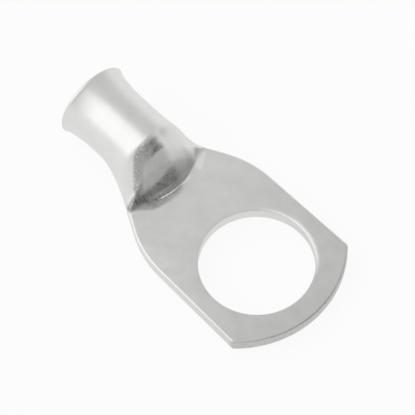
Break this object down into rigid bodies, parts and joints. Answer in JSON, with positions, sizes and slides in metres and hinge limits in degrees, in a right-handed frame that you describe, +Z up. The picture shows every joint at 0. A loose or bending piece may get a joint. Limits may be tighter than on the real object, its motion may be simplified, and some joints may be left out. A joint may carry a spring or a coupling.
{
  "type": "ring terminal",
  "caption": "Tinned copper ring terminal: a belled tube barrel that takes a stranded cable, pressed flat into a wide palm with a large stud hole.",
  "frame": {"origin": "centre of the stud hole on the underside of the palm, the face that is bolted down", "axes": "+Z up along the stud hole, away from the bolted face; the barrel lies towards -X and the rounded end towards +X; +Y across the palm"},
  "size_m": [0.0283, 0.0138, 0.0073],
  "materials": {
    "tinned_copper": "satin tin plating on copper tube"
  },
  "bodies": {
    "root": {"ring_terminal": "tinned_copper"}
  },
  "joints": []
}
